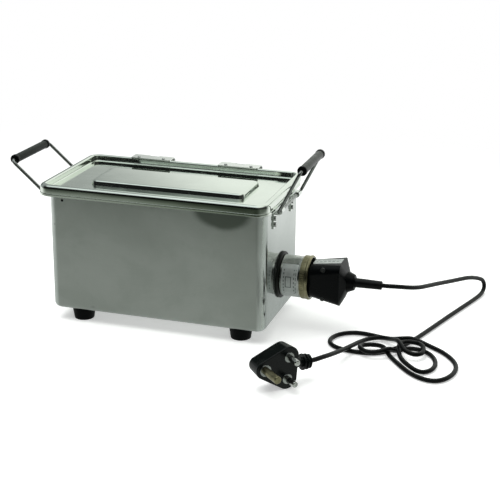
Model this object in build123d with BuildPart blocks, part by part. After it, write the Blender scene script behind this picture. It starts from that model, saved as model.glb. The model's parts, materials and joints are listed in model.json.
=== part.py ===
from build123d import *
import os
from math import sin, cos, tan, acos, radians

# Electrically heated stainless tank on four feet, with a hinged lid, two bail handles,
# a lift-out tray, an immersion heater with a pull-off connector, and a cord with a plug.
# Origin on the floor under the middle of the tank, +X to the heater end (right),
# -Y the front, +Z up. Millimetres and degrees.

os.makedirs("parts", exist_ok=True)

# ---------------------------------------------------------------- shared dimensions
SHEET = 1.0                          # stainless sheet thickness
FOOT_H = 16.0                        # floor to tank bottom
TANK_L, TANK_W = 278.0, 148.0        # outside of the tank walls
TANK = (TANK_L, TANK_W, 12.5)        # with the vertical corner radius
WALL_X, WALL_Y = TANK_L / 2, TANK_W / 2
INNER_X = WALL_X - SHEET             # inner face of the right-hand end wall
FLANGE_Z = 167.5                     # top of the tank's out-turned flange

LID_CENTRE = LID_CX, LID_CY = -4.0, 2.35   # more overhang on the left and at the rear
LID_L, LID_W = 293.0, 165.7          # outside of the lid rim
LID = (LID_L, LID_W, 16.0)
RIM_W = 8.0                          # width of the raised lid rim
RIM_TOP = 176.4
RIM_Y = LID_CY + LID_W / 2           # rear edge of the lid rim
RIM_MID_Y = RIM_Y - RIM_W / 2

HINGE_OFF = 60.0                     # hinge centres left and right of the lid's middle
HINGE_L = 54.0
HINGE_AXIS = HINGE_Y, HINGE_Z = 93.5, 174.0
LEAF_T = 1.2                         # lid leaf thickness
BRACKET_T = 1.5                      # tank leaf thickness
HINGE_RIVET_OFF = 17.0               # rivets left and right of a hinge's middle
RIVET_Z = 143.0                      # rivets in the tank walls, lower row on the end walls
HINGE_RIVET_X = [LID_CX + side * HINGE_OFF + off
                 for side in (-1, 1) for off in (-HINGE_RIVET_OFF, HINGE_RIVET_OFF)]
RIM_RIVETS = [(x, RIM_MID_Y) for x in HINGE_RIVET_X]
RIM_HOLE_R, WALL_HOLE_R = 1.25, 1.65

LUG_Y = 38.0                         # handle lugs in front of and behind the middle
LUG_T = 1.4
LUG_RIVETS = [(-LUG_Y, RIVET_Z), (LUG_Y, RIVET_Z), (-LUG_Y, 150.6), (LUG_Y, 150.6)]

AXIS_Z = 67.2                        # heater, terminal can and connector axis
CORD_R = 2.75


# ---------------------------------------------------------------- helpers
def save(name, part):
    part.label = name
    export_step(part, "parts/" + name + ".step")


def inset_rect(size, inset=0.0, mode=Mode.ADD):
    # rounded rectangle (length, width, corner radius) drawn in by the inset all round
    length, width, radius = size
    RectangleRounded(length - 2 * inset, width - 2 * inset, radius - inset, mode=mode)


def lid_rect(inset=0.0, mode=Mode.ADD):
    # outline of the lid about its own centre
    with Locations(LID_CENTRE):
        inset_rect(LID, inset, mode)


def circles(spots, radius, mode=Mode.ADD):
    with Locations(*spots):
        Circle(radius, mode=mode)


def axial(x):
    # plane across the heater axis, local x to the rear and local y up
    return Plane(origin=(x, 0, AXIS_Z), x_dir=(0, 1, 0), z_dir=(1, 0, 0))


def top_edges(builder):
    return builder.faces().sort_by(Axis.Z)[-1].edges()


def bottom_edges(builder):
    return builder.faces().sort_by(Axis.Z)[0].edges()


def circle_edges(builder):
    return builder.edges().filter_by(GeomType.CIRCLE)


def wall_rivets(outside, spots, inner, outer):
    # shanks through a wall whose outer face is the given plane; flat heads at the inner
    # depth and larger heads at the outer height
    with BuildPart() as rivets:
        with BuildSketch(outside.offset(-inner)):
            circles(spots, 1.6)
        extrude(amount=inner + outer + 0.3)
        with BuildSketch(outside.offset(outer)):
            circles(spots, 3.0)
        extrude(amount=1.6)
        with BuildSketch(outside.offset(-inner)):
            circles(spots, 2.6)
        extrude(amount=-0.9)
    return rivets.part


# ---------------------------------------------------------------- tank
BOTTOM_R = 6.5                       # outside radius between the walls and the bottom
FLANGE_INSET = 2.3                   # flange edge inside the lid's outline
ROLL_OUTER, ROLL_INNER, ROLL_H = 1.8, 4.4, 5.6   # rolled edge: insets from the lid, height
NECK_HOLE_R = 16.0


def tank_shell():
    with BuildPart() as shell:
        with BuildSketch(Plane.XY.offset(FOOT_H)):
            inset_rect(TANK)
        extrude(amount=FLANGE_Z - FOOT_H)
        fillet(bottom_edges(shell), BOTTOM_R)
        with BuildPart(mode=Mode.PRIVATE) as cavity:
            with BuildSketch(Plane.XY.offset(FOOT_H + SHEET)):
                inset_rect(TANK, SHEET)
            extrude(amount=FLANGE_Z - FOOT_H - SHEET + 5)
            fillet(bottom_edges(cavity), BOTTOM_R - SHEET)
        add(cavity.part, mode=Mode.SUBTRACT)
        # out-turned flange
        with BuildSketch(Plane.XY.offset(FLANGE_Z - SHEET)):
            lid_rect(FLANGE_INSET)
            inset_rect(TANK, 0.5, mode=Mode.SUBTRACT)
        extrude(amount=SHEET)
        # rolled edge of the flange
        with BuildPart(mode=Mode.PRIVATE) as roll:
            with BuildSketch(Plane.XY.offset(FLANGE_Z - ROLL_H)):
                lid_rect(ROLL_OUTER)
                lid_rect(ROLL_INNER, mode=Mode.SUBTRACT)
            extrude(amount=ROLL_H)
            fillet(roll.edges().filter_by(Plane.XY), 1.1)
        add(roll.part)
        # hole for the heater neck
        with BuildSketch(Plane.YZ.offset(WALL_X - 4)):
            circles([(0, AXIS_Z)], NECK_HOLE_R)
        extrude(amount=8, mode=Mode.SUBTRACT)
        # holes for the lug rivets in the end walls
        for side in (-1, 1):
            with BuildSketch(Plane.YZ.offset(side * WALL_X)):
                circles(LUG_RIVETS, WALL_HOLE_R)
            extrude(amount=3, both=True, mode=Mode.SUBTRACT)
        # holes for the hinge bracket rivets in the rear wall
        with BuildSketch(Plane.XZ.offset(-WALL_Y)):
            circles([(x, RIVET_Z) for x in HINGE_RIVET_X], WALL_HOLE_R)
        extrude(amount=3, both=True, mode=Mode.SUBTRACT)
    return shell.part


# ---------------------------------------------------------------- lid
FLOOR_TOP = 168.6                    # top of the sunken lid floor
PANEL = (201.0, 70.0, 9.0)           # raised panel at its foot
PANEL_TOP = 174.4
PANEL_TAPER = 18
PANEL_INSET = 1.3                    # hollow under the panel, inside its outline
SKIRT_Z = 163.2                      # lower edge of the lid skirt
HEM_H = 3.2
SKIRT_CUT_Y, SKIRT_CUT_W = 66.0, 40.0    # front edge and depth of the cut at the rear


def lid():
    panel_h = PANEL_TOP - FLOOR_TOP + 0.5
    with BuildPart() as cover:
        with BuildSketch(Plane.XY.offset(SKIRT_Z)):
            lid_rect()
        extrude(amount=RIM_TOP - SKIRT_Z)
        fillet(top_edges(cover), 4.6)
        # sunken floor
        with BuildPart(mode=Mode.PRIVATE) as recess:
            with BuildSketch(Plane.XY.offset(FLOOR_TOP)):
                lid_rect(RIM_W)
            extrude(amount=RIM_TOP - FLOOR_TOP + 4)
            fillet(bottom_edges(recess), 1.8)
        add(recess.part, mode=Mode.SUBTRACT)
        rim_face = cover.faces().filter_by(Axis.Z).sort_by(Axis.Z)[-1]
        fillet(rim_face.inner_wires()[0].edges(), 2.0)
        # raised panel on the floor, centred on the tank
        with BuildPart(mode=Mode.PRIVATE) as panel:
            with BuildSketch(Plane.XY.offset(FLOOR_TOP - 0.5)):
                inset_rect(PANEL)
            extrude(amount=panel_h, taper=PANEL_TAPER)
            fillet(top_edges(panel), 3.0)
        add(panel.part)
        # hollow underneath: under the floor, inside the rim channel, under the panel
        with BuildPart(mode=Mode.PRIVATE) as under_floor:
            with BuildSketch(Plane.XY.offset(SKIRT_Z - 1)):
                lid_rect(SHEET)
            extrude(amount=FLOOR_TOP - SHEET - SKIRT_Z + 1)
        add(under_floor.part, mode=Mode.SUBTRACT)
        with BuildPart(mode=Mode.PRIVATE) as channel:
            with BuildSketch(Plane.XY.offset(SKIRT_Z)):
                lid_rect(SHEET)
                lid_rect(RIM_W - SHEET, mode=Mode.SUBTRACT)
            extrude(amount=RIM_TOP - SHEET - SKIRT_Z)
            fillet(top_edges(channel), 1.2)
        add(channel.part, mode=Mode.SUBTRACT)
        with BuildPart(mode=Mode.PRIVATE) as under_panel:
            with BuildSketch(Plane.XY.offset(FLOOR_TOP - SHEET - 0.5)):
                inset_rect(PANEL, PANEL_INSET)
            extrude(amount=panel_h, taper=PANEL_TAPER)
            fillet(top_edges(under_panel), 2.1)
        add(under_panel.part, mode=Mode.SUBTRACT)
        # hemmed lower edge of the skirt
        with BuildPart(mode=Mode.PRIVATE) as hem:
            with BuildSketch(Plane.XY.offset(SKIRT_Z)):
                lid_rect(-0.7)
                lid_rect(0.6, mode=Mode.SUBTRACT)
            extrude(amount=HEM_H)
            fillet(hem.edges().filter_by(Plane.XY), 0.6)
        add(hem.part)
        # the rear of the skirt is cut short to clear the flange as the lid swings up
        with BuildSketch(Plane.XY.offset(SKIRT_Z - 1)):
            with Locations((LID_CX, SKIRT_CUT_Y + SKIRT_CUT_W / 2)):
                Rectangle(LID_L + 10, SKIRT_CUT_W)
        extrude(amount=FLANGE_Z + 0.8 - SKIRT_Z + 1, mode=Mode.SUBTRACT)
        # rivet holes through the rear rim for the hinge leaves
        with BuildSketch(Plane.XY.offset(RIM_TOP - 4)):
            circles(RIM_RIVETS, RIM_HOLE_R)
        extrude(amount=8, mode=Mode.SUBTRACT)
    return cover.part


# ---------------------------------------------------------------- rear hinges
TANK_KNUCKLE_R, LID_KNUCKLE_R = 2.9, 3.6
LID_BORE_R, TANK_BORE_R, HINGE_PIN_R = 1.52, 1.56, 1.5
KNUCKLE_L, KNUCKLE_GAP = 12.0, 13.2  # middle knuckle, and the gap in the lid leaf for it
BRACKET_Z = 132.0                    # lower edge of the tank leaf
SHELF_BOTTOM, SHELF_TOP = 152.6, 154.1   # its horizontal part
NOTCH_X, NOTCH_W = 17.3, 22.2        # cuts either side of the upright
NOTCH_H = 16.0


def hinge_lid_leaf(hinge_x):
    # flat plate riveted on the rim, with two outer knuckles
    front_y = RIM_Y - RIM_W - 1.0
    left_x = hinge_x - HINGE_L / 2
    with BuildPart() as leaf:
        with BuildSketch(Plane.XY.offset(RIM_TOP)):
            with Locations((hinge_x, (front_y + HINGE_Y) / 2)):
                Rectangle(HINGE_L, HINGE_Y - front_y)
        extrude(amount=LEAF_T)
        fillet(leaf.edges().filter_by(Axis.Z).group_by(Axis.Y)[0], 2.5)
        with BuildSketch(Plane.YZ.offset(left_x)):
            circles([HINGE_AXIS], LID_KNUCKLE_R)
        extrude(amount=HINGE_L)
        with BuildSketch(Plane.YZ.offset(left_x - 1)):
            circles([HINGE_AXIS], LID_BORE_R)
        extrude(amount=HINGE_L + 2, mode=Mode.SUBTRACT)
        # gap for the middle knuckle
        with BuildSketch(Plane.YZ.offset(hinge_x - KNUCKLE_GAP / 2)):
            with Locations((HINGE_Y + 1.2, HINGE_Z)):
                Rectangle(11.2, 12)
        extrude(amount=KNUCKLE_GAP, mode=Mode.SUBTRACT)
        with BuildSketch(Plane.XY.offset(RIM_TOP - 1)):
            circles([(hinge_x + side * HINGE_RIVET_OFF, RIM_MID_Y) for side in (-1, 1)],
                    RIM_HOLE_R)
        extrude(amount=4, mode=Mode.SUBTRACT)
    return leaf.part


def hinge_tank_leaf(hinge_x):
    # bracket on the rear wall, out under the flange, up to the middle knuckle
    wall_out = WALL_Y + BRACKET_T
    upright_front, upright_rear = HINGE_Y - BRACKET_T / 2, HINGE_Y + BRACKET_T / 2
    with BuildPart() as leaf:
        with BuildSketch(Plane.YZ.offset(hinge_x - HINGE_L / 2)):
            with BuildLine():
                Polyline((WALL_Y, BRACKET_Z), (wall_out, BRACKET_Z), (wall_out, SHELF_BOTTOM),
                         (upright_rear, SHELF_BOTTOM), (upright_rear, HINGE_Z),
                         (upright_front, HINGE_Z), (upright_front, SHELF_TOP),
                         (WALL_Y, SHELF_TOP), close=True)
            make_face()
        extrude(amount=HINGE_L)
        # the upright narrows to the middle knuckle
        with BuildSketch(Plane.XZ.offset(-HINGE_Y - 5)):
            with Locations(*[(hinge_x + side * NOTCH_X, HINGE_Z - NOTCH_H / 2)
                             for side in (-1, 1)]):
                Rectangle(NOTCH_W, NOTCH_H)
        extrude(amount=10, mode=Mode.SUBTRACT)
        with BuildSketch(Plane.YZ.offset(hinge_x - KNUCKLE_L / 2)):
            circles([HINGE_AXIS], TANK_KNUCKLE_R)
        extrude(amount=KNUCKLE_L)
        with BuildSketch(Plane.YZ.offset(hinge_x - 8)):
            circles([HINGE_AXIS], TANK_BORE_R)
        extrude(amount=16, mode=Mode.SUBTRACT)
        with BuildSketch(Plane.XZ.offset(-WALL_Y + 1)):
            circles([(hinge_x + side * HINGE_RIVET_OFF, RIVET_Z) for side in (-1, 1)],
                    WALL_HOLE_R)
        extrude(amount=-4, mode=Mode.SUBTRACT)
    return leaf.part


def hinge_pin(hinge_x):
    # pin with a chamfered head at its right-hand end
    with BuildPart() as pin:
        with BuildSketch(Plane.YZ.offset(hinge_x - HINGE_L / 2 - 0.8)):
            circles([HINGE_AXIS], HINGE_PIN_R)
        extrude(amount=HINGE_L + 1.6)
        with BuildSketch(Plane.YZ.offset(hinge_x + HINGE_L / 2 + 0.05)):
            circles([HINGE_AXIS], 2.4)
        extrude(amount=1.3)
        chamfer(pin.faces().sort_by(Axis.X)[-1].edges(), 0.5)
    return pin.part


def hinge_rivets_lid():
    with BuildPart() as rivets:
        with BuildSketch(Plane.XY.offset(RIM_TOP - SHEET)):
            circles(RIM_RIVETS, 1.2)
        extrude(amount=SHEET + LEAF_T + 0.2)
        with BuildSketch(Plane.XY.offset(RIM_TOP + LEAF_T)):
            circles(RIM_RIVETS, 2.2)
        extrude(amount=1.1)
        fillet(rivets.faces().group_by(Axis.Z)[-1].edges(), 0.9)
        with BuildSketch(Plane.XY.offset(RIM_TOP - SHEET)):
            circles(RIM_RIVETS, 1.4)
        extrude(amount=-0.8)
    return rivets.part


def hinge_rivets_tank():
    # seen from behind, so local x runs to the left
    rear = Plane(origin=(0, WALL_Y, 0), x_dir=(-1, 0, 0), z_dir=(0, 1, 0))
    return wall_rivets(rear, [(-x, RIVET_Z) for x in HINGE_RIVET_X], SHEET, BRACKET_T)


# ---------------------------------------------------------------- bail handles
WIRE_R = 2.05
ARM_Y = 50.0                         # half distance between the bail arms
WIRE_GAP = 0.3                       # half gap between the wire's ends on the pivot axis
GRIP_R, GRIP_HALF = 5.2, 43.5
LUG_W = 12.0
# name, side, pivot out from the middle, pivot height, angle above horizontal,
# pivot axis to grip axis
BAILS = [
    ("left", -1, 155.4, 158.6, 41.0, 55.0),
    ("right", 1, 147.4, 161.0, 63.35, 57.7),
]


def across(x, y, z):
    # plane across the Y direction, facing the rear
    return Plane(origin=(x, y, z), x_dir=(1, 0, 0), z_dir=(0, 1, 0))


def handle_wire(pivot_x, pivot_z, arm, length):
    bail_plane = Plane(origin=(pivot_x, 0, pivot_z), x_dir=arm,
                       z_dir=arm.cross(Vector(0, 1, 0)))
    with BuildPart() as wire:
        with BuildLine(bail_plane) as path:
            FilletPolyline((0, -WIRE_GAP), (0, -ARM_Y), (length, -ARM_Y), (length, ARM_Y),
                           (0, ARM_Y), (0, WIRE_GAP), radius=5.5)
        with BuildSketch(Plane(origin=(pivot_x, -WIRE_GAP, pivot_z),
                               x_dir=(1, 0, 0), z_dir=(0, -1, 0))):
            Circle(WIRE_R)
        sweep(path=path.wires()[0])
    return wire.part


def handle_grip(grip_x, grip_z):
    with BuildPart() as grip:
        with BuildSketch(across(grip_x, -GRIP_HALF, grip_z)):
            Circle(GRIP_R)
        extrude(amount=2 * GRIP_HALF)
        fillet(circle_edges(grip), 1.2)
        with BuildSketch(across(grip_x, -GRIP_HALF - 1, grip_z)):
            Circle(WIRE_R + 0.03)
        extrude(amount=2 * GRIP_HALF + 2, mode=Mode.SUBTRACT)
    return grip.part


def handle_lugs(side, pivot_out, pivot_z):
    # strips riveted to the end wall, out under the flange, curled round the wire
    wall_out = WALL_X + LUG_T
    shelf_bottom = pivot_z - 4.0
    shelf_top = shelf_bottom + LUG_T
    with BuildPart() as lugs:
        for end in (-1, 1):
            front_y = end * LUG_Y - LUG_W / 2
            with BuildSketch(Plane(origin=(0, front_y, 0), x_dir=(side, 0, 0),
                                   z_dir=(0, -side, 0))):
                with BuildLine():
                    Polyline((WALL_X, 139.0), (wall_out, 139.0), (wall_out, shelf_bottom),
                             (pivot_out, shelf_bottom), (pivot_out, shelf_top),
                             (WALL_X, shelf_top), close=True)
                make_face()
            extrude(amount=-side * LUG_W)
            with BuildSketch(across(side * pivot_out, front_y, pivot_z)):
                Circle(WIRE_R + 1.5)
            extrude(amount=LUG_W)
            with BuildSketch(across(side * pivot_out, front_y - 1, pivot_z)):
                Circle(WIRE_R + 0.06)
            extrude(amount=15, mode=Mode.SUBTRACT)
        with BuildSketch(Plane.YZ.offset(side * WALL_X)):
            circles(LUG_RIVETS, WALL_HOLE_R)
        extrude(amount=side * 3, mode=Mode.SUBTRACT)
    return lugs.part


def lug_rivets(side):
    end_wall = Plane(origin=(side * WALL_X, 0, 0), x_dir=(0, side, 0), z_dir=(side, 0, 0))
    return wall_rivets(end_wall, LUG_RIVETS, SHEET, LUG_T)


# ---------------------------------------------------------------- feet
FOOT_X, FOOT_Y = 104.0, 54.0
FEET = {
    "front_left": (-FOOT_X, -FOOT_Y),
    "front_right": (FOOT_X, -FOOT_Y),
    "rear_left": (-FOOT_X, FOOT_Y),
    "rear_right": (FOOT_X, FOOT_Y),
}
FOOT_R_FLOOR, FOOT_R_TANK = 12.4, 14.8
POCKET_R, POCKET_H = 6.0, 8.0        # pocket from below for the nut and washer
WASHER_T, NUT_T = 1.0, 3.2
STUD_R, STUD_Z = 1.98, 3.2           # stud radius and lower end


def foot(spot):
    with BuildPart() as block:
        with BuildSketch(Plane.XY):
            circles([spot], FOOT_R_FLOOR)
        with BuildSketch(Plane.XY.offset(FOOT_H)):
            circles([spot], FOOT_R_TANK)
        loft()
        fillet(circle_edges(block), 1.0)
        with BuildSketch(Plane.XY):
            circles([spot], POCKET_R)
        extrude(amount=POCKET_H, mode=Mode.SUBTRACT)
        with BuildSketch(Plane.XY.offset(POCKET_H - 1)):
            circles([spot], 2.05)
        extrude(amount=10.0, mode=Mode.SUBTRACT)
    return block.part


def foot_studs():
    with BuildPart() as studs:
        with BuildSketch(Plane.XY.offset(STUD_Z)):
            circles(FEET.values(), STUD_R)
        extrude(amount=FOOT_H - STUD_Z)
    return studs.part


def foot_washers():
    with BuildPart() as washers:
        with BuildSketch(Plane.XY.offset(POCKET_H - WASHER_T)):
            with Locations(*FEET.values()):
                Circle(5.6)
                Circle(2.1, mode=Mode.SUBTRACT)
        extrude(amount=WASHER_T)
    return washers.part


def foot_nuts():
    with BuildPart() as nuts:
        with BuildSketch(Plane.XY.offset(POCKET_H - WASHER_T - NUT_T)):
            with Locations(*FEET.values()):
                RegularPolygon(3.5, 6, major_radius=False)
                Circle(2.0, mode=Mode.SUBTRACT)
        extrude(amount=NUT_T)
    return nuts.part


# ---------------------------------------------------------------- heater in the right end wall
HEAD_R, HEAD_T = 26.0, 5.0
GASKET_BORE_R = 15.2
GASKET_IN_T, GASKET_OUT_T = 2.0, 3.0
PIN_OFF = 9.5                        # terminal pins and element ends from the axis
TERMINALS = {"neutral": (-PIN_OFF, 0), "live": (PIN_OFF, 0), "earth": (0, -PIN_OFF)}
ELEMENT_R = 4.0
ELEMENT_END_X = INNER_X + 6.0
ELEMENT_BEND_X, ELEMENT_HALF_W = -92.0, 20.0   # far end of the hairpin, half its width
CAN_R, CAN_L = 25.5, 36.0
CAN_X0 = WALL_X + GASKET_OUT_T
LIP_X0, COLLAR_X0, COLLAR_X1 = WALL_X + 34.8, WALL_X + 28.6, WALL_X + 39.2
LABEL_R_IN, LABEL_R_OUT = 25.52, 25.86
LABEL_START, LABEL_END = 128.0, 252.0
BLOCK_X0 = WALL_X + 15.1
TERMINAL_END_X = WALL_X + 44.0


def heater_gasket_inner():
    with BuildPart() as gasket:
        with BuildSketch(axial(INNER_X - GASKET_IN_T)):
            Circle(HEAD_R)
            Circle(GASKET_BORE_R, mode=Mode.SUBTRACT)
        extrude(amount=GASKET_IN_T)
    return gasket.part


def heater_gasket_outer():
    with BuildPart() as gasket:
        with BuildSketch(axial(WALL_X)):
            Circle(29.0)
            Circle(GASKET_BORE_R, mode=Mode.SUBTRACT)
        extrude(amount=GASKET_OUT_T)
        fillet(circle_edges(gasket).group_by(SortBy.RADIUS)[-1], 1.3)
    return gasket.part


def heater_head():
    # disc inside the tank with a neck out through the wall
    with BuildPart() as head:
        with BuildSketch(axial(INNER_X - GASKET_IN_T - HEAD_T)):
            Circle(HEAD_R)
        extrude(amount=HEAD_T)
        fillet(circle_edges(head).sort_by(Axis.X)[0], 1.2)
        with BuildSketch(axial(INNER_X - GASKET_IN_T)):
            Circle(14.9)
        extrude(amount=18.0)
        # bores for the element ends and the earth pin
        with BuildSketch(axial(INNER_X - 8.0)):
            circles([TERMINALS["neutral"], TERMINALS["live"]], ELEMENT_R + 0.05)
        extrude(amount=30, mode=Mode.SUBTRACT)
        with BuildSketch(axial(INNER_X + 4)):
            circles([TERMINALS["earth"]], 3.0)
        extrude(amount=30, mode=Mode.SUBTRACT)
    return head.part


def heater_element():
    # hairpin: two legs joined by a bend near the far end wall
    front_leg = [(ELEMENT_END_X, -PIN_OFF), (INNER_X - 16.0, -PIN_OFF),
                 (INNER_X - 34.0, -ELEMENT_HALF_W), (ELEMENT_BEND_X, -ELEMENT_HALF_W)]
    rear_leg = [(x, -y) for x, y in reversed(front_leg)]
    with BuildPart() as element:
        with BuildLine(Plane.XY.offset(AXIS_Z)) as path:
            FilletPolyline(*front_leg, *rear_leg, radius=9.0)
        with BuildSketch(Plane(origin=(ELEMENT_END_X, -PIN_OFF, AXIS_Z),
                               x_dir=(0, 1, 0), z_dir=(-1, 0, 0))):
            Circle(ELEMENT_R)
        sweep(path=path.wires()[0])
    return element.part


def heater_lock_nut():
    with BuildPart() as nut:
        with BuildSketch(axial(WALL_X + 4.1)):
            RegularPolygon(19.5, 6, major_radius=False)
            Circle(15.0, mode=Mode.SUBTRACT)
        extrude(amount=6.0)
    return nut.part


def terminal_can():
    bore_r = CAN_R - SHEET
    with BuildPart() as can:
        with BuildSketch(axial(CAN_X0)):
            Circle(CAN_R)
        extrude(amount=CAN_L)
        fillet(circle_edges(can).sort_by(Axis.X)[0], 1.5)
        with BuildSketch(axial(CAN_X0 + SHEET)):
            Circle(bore_r)
        extrude(amount=40, mode=Mode.SUBTRACT)
        with BuildSketch(axial(CAN_X0 - 1.0)):
            Circle(GASKET_BORE_R)
        extrude(amount=4, mode=Mode.SUBTRACT)
        bore_edges = circle_edges(can).filter_by(lambda e: abs(e.radius - bore_r) < 0.01)
        fillet(bore_edges.sort_by(Axis.X)[-1], 0.8)
    return can.part


def can_collar():
    with BuildPart() as collar:
        with BuildSketch(axial(COLLAR_X0)):
            Circle(26.9)
        extrude(amount=COLLAR_X1 - COLLAR_X0 - 3.0)
        chamfer(circle_edges(collar), 0.5)
        # rolled lip at the open end
        with BuildPart(mode=Mode.PRIVATE) as lip:
            with BuildSketch(axial(LIP_X0)):
                Circle(27.5)
            extrude(amount=COLLAR_X1 - LIP_X0)
            fillet(circle_edges(lip), 1.6)
        add(lip.part)
        # coin-edge flutes round the outside
        with BuildSketch(axial(COLLAR_X0 + 1.0)):
            with PolarLocations(27.2, 60):
                Circle(0.75)
        extrude(amount=COLLAR_X1 - COLLAR_X0 - 5.9, mode=Mode.SUBTRACT)
        with BuildSketch(axial(COLLAR_X0 - 1)):
            Circle(CAN_R + 0.02)
        extrude(amount=20, mode=Mode.SUBTRACT)
    return collar.part


def can_label():
    # blank data plate wrapped round the front of the can
    with BuildPart() as label:
        with BuildSketch(axial(CAN_X0 + 3.2)):
            with BuildLine():
                for radius in (LABEL_R_IN, LABEL_R_OUT):
                    CenterArc((0, 0), radius, LABEL_START, LABEL_END - LABEL_START)
                for angle in (radians(LABEL_START), radians(LABEL_END)):
                    Line((LABEL_R_IN * cos(angle), LABEL_R_IN * sin(angle)),
                         (LABEL_R_OUT * cos(angle), LABEL_R_OUT * sin(angle)))
            make_face()
        extrude(amount=20.4)
    return label.part


def terminal_block():
    with BuildPart() as block:
        with BuildSketch(axial(BLOCK_X0)):
            Circle(20.0)
        extrude(amount=9.0)
        chamfer(circle_edges(block), 0.8)
        with BuildSketch(axial(BLOCK_X0 - 0.1)):
            circles(TERMINALS.values(), 3.0)
        extrude(amount=12, mode=Mode.SUBTRACT)
    return block.part


def terminal_pin(name):
    start_x = WALL_X + (7.0 if name == "earth" else 5.2)
    with BuildPart() as pin:
        with BuildSketch(axial(start_x)):
            circles([TERMINALS[name]], 2.95)
        extrude(amount=TERMINAL_END_X - start_x)
        fillet(circle_edges(pin).sort_by(Axis.X)[-1], 1.6)
    return pin.part


# ---------------------------------------------------------------- connector (pulls off along +X)
NOSE_X0, BODY_X0, BODY_X1, CONN_END = (WALL_X + out for out in (30.0, 40.0, 78.0, 84.0))
NOSE_R = 20.2
BODY_START_R = 20.6                  # half width and half height where the body starts
BODY_TOP = 25.5                      # above the axis at the body's large end
# half width, height above the axis, depth below the axis, corner radius
BODY_START = (BODY_START_R, BODY_START_R, BODY_START_R, 12.0)
BODY_LARGE = (23.5, BODY_TOP, 26.5, 9.0)
BODY_SMALL = (13.6, 13.6, 13.6, 9.0)
ENTRY_R = 6.25                       # cord entry
CONN_SCREWS = [(BODY_X0 + 17, AXIS_Z + 18.4), (BODY_X0 + 17, AXIS_Z - 18.4)]
SCREW_SEAT = 19.2                    # head seat in front of the axis
SLEEVE_X1 = 265.0


def body_outline(half_width, above, below, radius):
    with Locations((0, (above - below) / 2)):
        RectangleRounded(2 * half_width, above + below, radius)


def connector_core():
    with BuildPart() as core:
        with BuildSketch(axial(NOSE_X0)):
            Circle(NOSE_R)
        extrude(amount=BODY_X0 - NOSE_X0 + 0.5)
        chamfer(circle_edges(core).sort_by(Axis.X)[0], 0.8)
        with BuildSketch(axial(BODY_X0)):
            body_outline(*BODY_START)
        with BuildSketch(axial(BODY_X1)):
            body_outline(*BODY_LARGE)
        loft()
        with BuildSketch(axial(BODY_X1)):
            body_outline(*BODY_LARGE)
        with BuildSketch(axial(CONN_END)):
            body_outline(*BODY_SMALL)
        loft()
        # round shoulder, a slightly larger step where the body meets the nose
        with BuildSketch(axial(BODY_X0 - 0.9)):
            Circle(BODY_START_R)
        extrude(amount=1.5)
        # sockets for the three pins, the wiring space and the cord entry
        with BuildSketch(axial(NOSE_X0 - 1)):
            circles(TERMINALS.values(), 4.3)
        extrude(amount=36, mode=Mode.SUBTRACT)
        with BuildSketch(axial(NOSE_X0 + 34.5)):
            Rectangle(32, 32)
        extrude(amount=13.5, mode=Mode.SUBTRACT)
        with BuildSketch(axial(CONN_END - 12)):
            Circle(ENTRY_R)
        extrude(amount=20, mode=Mode.SUBTRACT)
        # screw passages, front to back, with recesses for the heads at the front
        with BuildSketch(Plane.XZ.offset(40)):
            circles(CONN_SCREWS, 1.6)
        extrude(amount=-80, mode=Mode.SUBTRACT)
        with BuildSketch(Plane.XZ.offset(SCREW_SEAT)):
            circles(CONN_SCREWS, 3.1)
        extrude(amount=20, mode=Mode.SUBTRACT)
    return core.part


def connector_half(core, keep):
    # Plane.XZ faces the front, so Keep.TOP is the front half
    with BuildPart() as half:
        add(core)
        split(bisect_by=Plane.XZ, keep=keep)
    return half.part


def connector_contacts():
    with BuildPart() as contacts:
        with BuildSketch(axial(NOSE_X0 + 1.5)):
            with Locations(*TERMINALS.values()):
                Circle(4.25)
                Circle(3.02, mode=Mode.SUBTRACT)
        extrude(amount=30)
    return contacts.part


def connector_screws():
    head_h = 2.0
    with BuildPart() as screws:
        with BuildSketch(Plane.XZ.offset(SCREW_SEAT)):
            circles(CONN_SCREWS, 2.9)
        extrude(amount=head_h)
        fillet(screws.faces().group_by(Axis.Y)[0].edges(), 0.6)
        with BuildSketch(Plane.XZ.offset(SCREW_SEAT - 0.05)):
            circles(CONN_SCREWS, 1.55)
        extrude(amount=-34.0)
        # screwdriver slots
        with BuildSketch(Plane.XZ.offset(SCREW_SEAT + head_h)):
            with Locations(*CONN_SCREWS):
                Rectangle(7, 0.8, rotation=35)
        extrude(amount=-0.8, mode=Mode.SUBTRACT)
    return screws.part


def connector_collar():
    with BuildPart() as collar:
        with BuildSketch(axial(CONN_END)):
            Circle(13.2)
        with BuildSketch(axial(CONN_END + 9.0)):
            Circle(9.4)
        loft()
        fillet(circle_edges(collar).sort_by(Axis.X)[-1], 1.2)
        with BuildSketch(axial(CONN_END - 1)):
            Circle(ENTRY_R)
        extrude(amount=20, mode=Mode.SUBTRACT)
    return collar.part


def cord_sleeve():
    # tapered sleeve with a wider flange inside the connector
    with BuildPart() as sleeve:
        with BuildSketch(axial(CONN_END - 8)):
            Circle(6.2)
        with BuildSketch(axial(SLEEVE_X1)):
            Circle(5.3)
        loft()
        with BuildSketch(axial(CONN_END - 11.5)):
            Circle(7.6)
        extrude(amount=3.6)
        with BuildSketch(axial(CONN_END - 12)):
            Circle(CORD_R + 0.04)
        extrude(amount=70, mode=Mode.SUBTRACT)
        fillet(circle_edges(sleeve).sort_by(Axis.X)[-1], 0.8)
    return sleeve.part


def connector_label():
    # blank plate on the connector's sloping top facet
    run, rise = BODY_X1 - BODY_X0, BODY_TOP - BODY_START_R
    facet = Plane(origin=((BODY_X0 + BODY_X1) / 2, 0, AXIS_Z + (BODY_START_R + BODY_TOP) / 2),
                  x_dir=(run, 0, rise), z_dir=(-rise, 0, run))
    with BuildPart() as label:
        with BuildSketch(facet):
            RectangleRounded(35.5, 16.6, 2.0)
        extrude(amount=0.4)
    return label.part


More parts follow.
